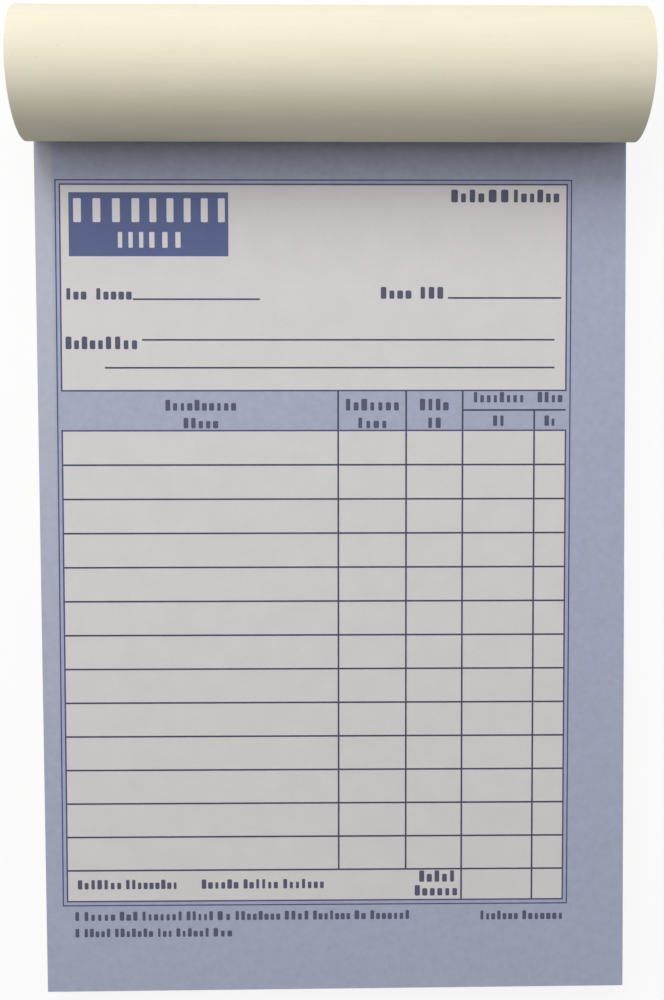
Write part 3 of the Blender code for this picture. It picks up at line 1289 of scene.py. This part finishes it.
@dataclass
class SetStack:
    """The other sets, three leaves each, seen mostly by their cut edges."""

    sheets: SheetMaker
    form_print: FormPrint
    ink: float = 0.006 * MM
    sway: float = 0.10 * MM
    sway_share: float = 0.6
    drift_kept: float = 0.7
    stray: float = 0.07 * MM
    turn: float = math.radians(0.025)
    seed: int = 7

    def nodes(self) -> list[str]:
        """Names of the sets' nodes, from the top down."""
        return sorted(name for name in frame["nodes"] if name.startswith("set_"))

    def levels(self, node: str) -> list[Span]:
        """Work out where the three leaves of a set lie.

        Args:
            node: The set's node.

        Returns:
            The leaves' heights, from the top down.
        """
        low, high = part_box(node)
        leaf_low, leaf_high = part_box("original_leaf")
        thickness = leaf_high.z - leaf_low.z
        gap = (high.z - low.z - len(Ply) * thickness) / (len(Ply) - 1)
        tops = [high.z - index * (thickness + gap) for index in range(len(Ply))]
        return [Span(top - thickness, top) for top in tops]

    def patterns(self) -> dict[Ply, Piece]:
        """Model the plain leaves that the sets' leaves are copied from, flat at height 0.

        Returns:
            One leaf for each copy of the form.
        """
        page = self.sheets.page
        made = {}
        for ply in Ply:
            made[ply] = Bench.plane(f"{ply.value}_pattern", page.across, Span(page.foot, page.head))
            Bench.dress(made[ply], self.sheets.papers.bare[ply])
        return made

    @staticmethod
    def shift(draw: random.Random, reach: float) -> Vector:
        """A chance move in the page's plane."""
        return Vector((draw.gauss(0.0, reach), draw.gauss(0.0, reach), 0.0))

    def settle(self, leaf: Piece, shift: Vector, turn: float) -> None:
        """Move a leaf a little about the middle of its bound head.

        Args:
            leaf: The leaf.
            shift: How far it moves.
            turn: How far it turns.
        """
        pivot = Vector((0.0, self.sheets.page.head, 0.0))
        turned = Matrix.Rotation(turn, 4, "Z") @ Matrix.Translation(-pivot)
        leaf.data.transform(Matrix.Translation(pivot + shift) @ turned)

    def build(self) -> list[Piece]:
        """Make the sets and the print on the uppermost leaf.

        Returns:
            One piece for each set, and the print.
        """
        draw = random.Random(self.seed)
        patterns = self.patterns()
        made = []
        drift = Vector()
        for number, node in enumerate(self.nodes()):
            drift = drift * self.drift_kept + self.shift(draw, self.sway) * self.sway_share
            leaves = []
            for ply, level in zip(Ply, self.levels(node)):
                stray = self.shift(draw, self.stray)
                turn = draw.gauss(0.0, self.turn)
                if number == 0 and ply is Ply.ORIGINAL:
                    leaves.append(self.sheets.lay(f"{node}_sheets", ply, level, torn=False))
                    continue
                leaf = Bench.twin(patterns[ply], f"{node}_{ply.value}")
                leaf.data.transform(Matrix.Translation((0.0, 0.0, level.high)))
                Bench.thicken_down(leaf, level.length)
                self.settle(leaf, drift + stray, turn)
                leaves.append(leaf)
            piece = Bench.join(f"{node}_sheets", *leaves)
            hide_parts(node)
            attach(piece, Body.BOOK.value)
            made.append(piece)
        for pattern in patterns.values():
            Bench.discard(pattern)
        top = self.levels(self.nodes()[0])[0].high
        paper = self.sheets.papers.bare[Ply.ORIGINAL]
        ink = self.form_print.lay("set_02_print", top, self.ink, paper)
        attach(ink, Body.BOOK.value)
        return [*made, ink]


@dataclass(frozen=True)
class BentPart:
    """A part of the cover that bends as the flap swings.

    It has the places of its card's two ends, and its step of the swing's course.
    """

    piece: Piece
    first: Vector
    last: Vector
    step: Span


@dataclass
class CardCover:
    """The card cover: root under the tape, crease, roll over the head, and flap under the pad."""

    page: PageBlock
    thickness: float = 0.3 * MM
    crease_radius: float = 1.0 * MM
    crease_turn: float = math.radians(46.5)
    arc_step: float = math.radians(1.0)
    columns: int = 28
    skew: float = 0.35 * MM
    skew_rise: float = 3.0 * MM
    roll_parts: int = 6
    card: CardFinish = CardFinish("cream_card", (0.84, 0.795, 0.63), 0.02, cloud_scale=90.0, shine=0.08)
    raw_edge: CardFinish = CardFinish("cream_card_edge", (0.72, 0.67, 0.52), 0.06)
    axis: Vector = field(default_factory=lambda: joint_place("cover_turn"))

    EDGE_SLOT = 1

    def __post_init__(self) -> None:
        """Work out the card's path from the frame."""
        low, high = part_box("front_cover")
        self.flap_end = low.y
        self.flap_level = low.z + self.thickness / 2
        self.radius = high.z - self.thickness / 2 - self.axis.z
        self.roll_turn = 1.5 * math.pi - self.crease_turn
        self.back = high.y - self.thickness / 2
        reach = self.radius - self.crease_radius
        self.crease = self.axis.y - reach * math.sin(self.crease_turn)
        self.root_level = self.axis.z - reach * math.cos(self.crease_turn) - self.crease_radius
        tape_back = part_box("binding_tape")[1].y
        self.turn_radius = min(self.radius, self.axis.z - self.flap_level, self.back - tape_back)
        self.turn_y = self.back - self.turn_radius
        self.turn_z = self.flap_level + self.turn_radius

    def spin(self, angle: float, y: float, z: float) -> None:
        """Spin the selected edge about an axis across the page, in edit mode."""
        steps = max(1, round(angle / self.arc_step))
        bpy.ops.mesh.spin(steps=steps, angle=angle, center=(0.0, y, z), axis=Axis.ACROSS.value)

    def root(self) -> Piece:
        """Make the flat root, from the head to the crease.

        Returns:
            The root's middle surface.
        """
        piece = Bench.edge("cover_root", self.page.across, self.page.head, self.root_level, self.columns)
        with Bench.shaping(piece):
            Bench.extrude(0.0, self.crease - self.page.head, 0.0)
        return piece

    def on_roll(self, turn: float) -> Vector:
        """Point of the roll, by the turn from where it springs at the crease."""
        angle = self.roll_turn - turn
        return self.axis + Vector((0.0, math.cos(angle), math.sin(angle))) * self.radius

    @staticmethod
    def speed(step: Span) -> float:
        """How fast the swing grows at a step's fastest point, from a slow start to a slow end."""
        middle = min(max(0.5, step.low), step.high)
        return middle * (1.0 - middle)

    def roll(self) -> list[BentPart]:
        """Make the roll, from the crease to the back of the head, in parts.

        The parts take equal steps of the swing's course. Each has a turn that suits its speed, so
        the card never runs back on itself when the flap is thrown over.

        Returns:
            The parts' middle surfaces, in the card's order.
        """
        count = self.roll_parts
        steps = [Span(index / count, (index + 1) / count) for index in range(count)]
        turn_per_speed = self.roll_turn / sum(self.speed(step) for step in steps)
        parts = []
        turned = 0.0
        for index, step in enumerate(steps):
            share = turn_per_speed * self.speed(step)
            first, last = self.on_roll(turned), self.on_roll(turned + share)
            if index == 0:
                first = Vector((0.0, self.crease, self.root_level))
            piece = Bench.edge(f"cover_roll_{index + 1}", self.page.across, first.y, first.z, self.columns)
            with Bench.shaping(piece):
                if index == 0:
                    self.spin(self.crease_turn, self.crease, self.root_level + self.crease_radius)
                self.spin(share, self.axis.y, self.axis.z)
            parts.append(BentPart(piece, first, last, step))
            turned += share
        return parts

    def flap(self) -> Piece:
        """Make the drop behind the head, the turn under the pad and the flap that lies there.

        Returns:
            Their middle surface, as one piece.
        """
        piece = Bench.edge("cover_flap", self.page.across, self.back, self.axis.z, self.columns)
        with Bench.shaping(piece):
            Bench.extrude(0.0, 0.0, self.turn_z - self.axis.z)
            self.spin(math.pi / 2, self.turn_y, self.turn_z)
            Bench.extrude(0.0, self.flap_end - self.turn_y, 0.0)
        return piece

    def lay_askew(self, piece: Piece) -> None:
        """Turn the standing part of the card a little, as it was rolled by hand.

        Args:
            piece: A part of the card.
        """
        half = self.page.across.length / 2
        for vertex in piece.data.vertices:
            above_root = smooth((vertex.co.z - self.root_level) / self.skew_rise)
            vertex.co.y -= self.skew * above_root * vertex.co.x / half

    def dress(self, piece: Piece, card: Material, raw: Material) -> None:
        """Give a part of the cover its card, and its cut sides their raw edge.

        Args:
            piece: The part.
            card: Material of its faces.
            raw: Material of its cut sides.
        """
        Bench.dress(piece, card, raw)
        for face in piece.data.polygons:
            if abs(face.normal.x) > FACING:
                face.material_index = self.EDGE_SLOT

    def bend(self, parts: Sequence[BentPart]) -> None:
        """Let the parts of the roll share the flap's swing.

        Args:
            parts: The parts that bend, in the card's order.
        """
        slant = self.skew / (self.page.across.length / 2)
        for part in parts:
            reach = (part.last - part.first) / part.step.length
            reach.x = reach.y * slant
            start = part.first - reach * part.step.low
            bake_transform(part.piece, Body.BOOK.value, Body.COVER.value, start, start + reach)
            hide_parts("front_cover")

    def build(self) -> list[Piece]:
        """Make the cover.

        Returns:
            Root, parts of the roll, and flap.
        """
        root, bent, flap = self.root(), self.roll(), self.flap()
        pieces = [root, *(part.piece for part in bent), flap]
        card, raw = self.card.material(), self.raw_edge.material()
        for piece in pieces:
            self.lay_askew(piece)
            Bench.thicken_both(piece, self.thickness)
            Bench.soften(piece)
            self.dress(piece, card, raw)
        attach(root, Body.BOOK.value)
        self.bend(bent)
        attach(flap, Body.COVER.value)
        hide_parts("front_cover")
        return pieces


@dataclass
class Binding:
    """What holds the head together: stubs, board, tape and wire, kept as the frame has them."""

    papers: Papers
    board: BoardFinish = BoardFinish("greyboard", (0.34, 0.31, 0.27), 0.08, cloud_scale=240.0)
    cloth: ClothFinish = ClothFinish(
        "binding_cloth", (0.05, 0.07, 0.16), 0.1, tooth_height=0.08 * MM, tooth_strength=0.6
    )
    wire: WireFinish = WireFinish(
        "stitching_wire", (0.62, 0.63, 0.65), 0.03, roughness=Span(0.22, 0.38), shine=0.5
    )

    def dress(self) -> list[Piece]:
        """Give the kept solids their finishes.

        Returns:
            The dressed nodes.
        """
        finishes = {
            "back_board": self.board.material(),
            "binding_tape": self.cloth.material(),
            "staple_left": self.wire.material(),
        }
        finishes["staple_right"] = finishes["staple_left"]
        for ply in Ply:
            finishes[f"{ply.value}_stub"] = self.papers.bare[ply]
        for name, material in finishes.items():
            Bench.dress(frame["nodes"][name], material)
        return [frame["nodes"][name] for name in finishes]


@dataclass(frozen=True)
class Lamp:
    """A soft lamp that faces the book, placed by its angles above the page and aside from the head.

    Its level is how bright it makes white paper that is held square to it.
    """

    name: str
    distance: float
    height: float
    aside: float
    size: tuple[float, float]
    level: float

    def hang(self, target: Vector) -> None:
        """Hang the lamp.

        Args:
            target: The point that it faces.
        """
        flat = Vector((-math.sin(self.aside), math.cos(self.aside), 0.0)) * math.cos(self.height)
        towards = flat + Vector((0.0, 0.0, math.sin(self.height)))
        bpy.ops.object.light_add(type="AREA", location=target + towards * self.distance)
        lamp = bpy.context.object
        lamp.name = self.name
        lamp.rotation_mode = "QUATERNION"
        lamp.rotation_quaternion = towards.to_track_quat("Z", "Y")
        lamp.data.shape = "RECTANGLE"
        lamp.data.size, lamp.data.size_y = self.size
        lamp.data.energy = self.level * math.pi**2 * self.distance**2


@dataclass
class Studio:
    """Floor, light and camera."""

    floor_half: float = 40.0
    floor_drop: float = 0.15 * MM
    floor_shade: float = 0.6
    floor_seen: float = 0.95
    floor_glow: float = 0.86
    floor_cloud: float = 3.0
    floor_detail: float = 2.0
    floor_dark: float = 0.98
    sky: float = 0.13
    sky_tint: Colour = (1.0, 0.965, 0.92)
    lamps: tuple[Lamp, ...] = (
        Lamp("head_lamp", 0.9, math.radians(50.0), math.radians(8.0), (0.6, 0.6), 0.57),
        Lamp("wide_lamp", 0.9, math.radians(55.0), math.radians(34.0), (0.9, 1.5), 0.45),
        Lamp("left_lamp", 0.9, math.radians(30.0), math.radians(90.0), (0.6, 0.9), 0.33),
        Lamp("right_lamp", 0.9, math.radians(30.0), math.radians(-90.0), (0.6, 0.9), 0.22),
    )
    camera_place: Triple = (-0.0034053, 0.0155328, 0.2810975)
    camera_turn: Triple = (-0.04262, -0.01174, -0.00653)
    lens: float = 41.144
    sensor: float = 36.0
    nearest: float = 10.0 * MM

    WHITE = (1.0, 1.0, 1.0)

    @staticmethod
    def seen(wiring: Wiring) -> Socket:
        """Tell the rays that show the backdrop to the camera from those that light the object.

        Args:
            wiring: The backdrop's wiring.

        Returns:
            1 for a ray from the camera, straight or by a mirror or glass.
        """
        path = wiring.add("ShaderNodeLightPath")
        mirrored = wiring.math("MAXIMUM", path.outputs["Is Camera Ray"], path.outputs["Is Glossy Ray"])
        return wiring.math("MAXIMUM", mirrored, path.outputs["Is Transmission Ray"])

    def lay_floor(self) -> None:
        """A pale floor that keeps a faint shadow.

        The camera sees it in a lighter shade than the one that throws light at the object.
        """
        reach = Span(-self.floor_half, self.floor_half)
        floor = Bench.plane("floor", reach, reach, -self.floor_drop)
        material = bpy.data.materials.new("floor_paint")
        material.use_nodes = True
        wiring = Wiring(material.node_tree)
        wiring.tree.nodes.clear()
        place = wiring.add("ShaderNodeTexCoord").outputs["Object"]
        cloud = wiring.noise(place, self.floor_cloud, self.floor_detail)
        shades = []
        for shade in (self.floor_shade, self.floor_seen):
            shades.append(wiring.mix(cloud, (shade * self.floor_dark,) * 3, (shade,) * 3))
        seen = self.seen(wiring)
        paint = wiring.add("ShaderNodeBsdfDiffuse", {"Color": wiring.mix(seen, *shades)})
        glow = wiring.add("ShaderNodeEmission", {"Color": self.WHITE, "Strength": 1.0})
        share = wiring.math("MULTIPLY", seen, self.floor_glow)
        wiring.add("ShaderNodeOutputMaterial", {"Surface": wiring.mix_shaders(share, paint, glow)})
        Bench.dress(floor, material)

    def hang_sky(self) -> None:
        """An even sky, which looks as pale as the far floor behind the object."""
        world = bpy.data.worlds.new("studio_sky")
        bpy.context.scene.world = world
        world.use_nodes = True
        wiring = Wiring(world.node_tree)
        wiring.tree.nodes.clear()
        far_floor = self.floor_glow + (1.0 - self.floor_glow) * self.floor_seen * self.sky
        fill = wiring.add("ShaderNodeBackground", {"Color": self.sky_tint, "Strength": self.sky})
        pale = wiring.add("ShaderNodeBackground", {"Color": self.WHITE, "Strength": far_floor})
        mixed = wiring.mix_shaders(self.seen(wiring), fill, pale)
        wiring.add("ShaderNodeOutputWorld", {"Surface": mixed})

    def set_camera(self) -> None:
        """The camera, where the photograph was taken from."""
        bpy.ops.object.camera_add(location=self.camera_place)
        camera = bpy.context.object
        camera.name = "photo_camera"
        turn = Vector(self.camera_turn)
        camera.rotation_mode = "QUATERNION"
        camera.rotation_quaternion = Quaternion(turn.normalized(), turn.length)
        camera.data.sensor_fit = "AUTO"
        camera.data.sensor_width = self.sensor
        camera.data.lens = self.lens
        camera.data.clip_start = self.nearest
        bpy.context.scene.camera = camera

    def build(self, target: Vector) -> None:
        """Set up the studio.

        Args:
            target: The point on the object that the lamps face.
        """
        self.lay_floor()
        self.hang_sky()
        for lamp in self.lamps:
            lamp.hang(target)
        self.set_camera()
        bpy.context.scene.view_settings.view_transform = "Standard"


def main() -> None:
    """Build every sub-assembly, then the studio."""
    logging.basicConfig(level=logging.INFO, format="%(name)s: %(message)s")
    page = PageBlock.from_frame()
    form = Form(page)
    papers = Papers()
    form_print = FormPrint(form)
    form_print.model()
    sheets = SheetMaker(page, form, papers)
    cover = CardCover(page)
    cover.build()
    TopSet(sheets, form_print).build()
    SetStack(sheets, form_print).build()
    Bench.discard(form_print.pattern)
    Binding(papers).dress()
    Studio().build(Vector((0.0, page.head, cover.root_level)))


if __name__ == "__main__":
    main()
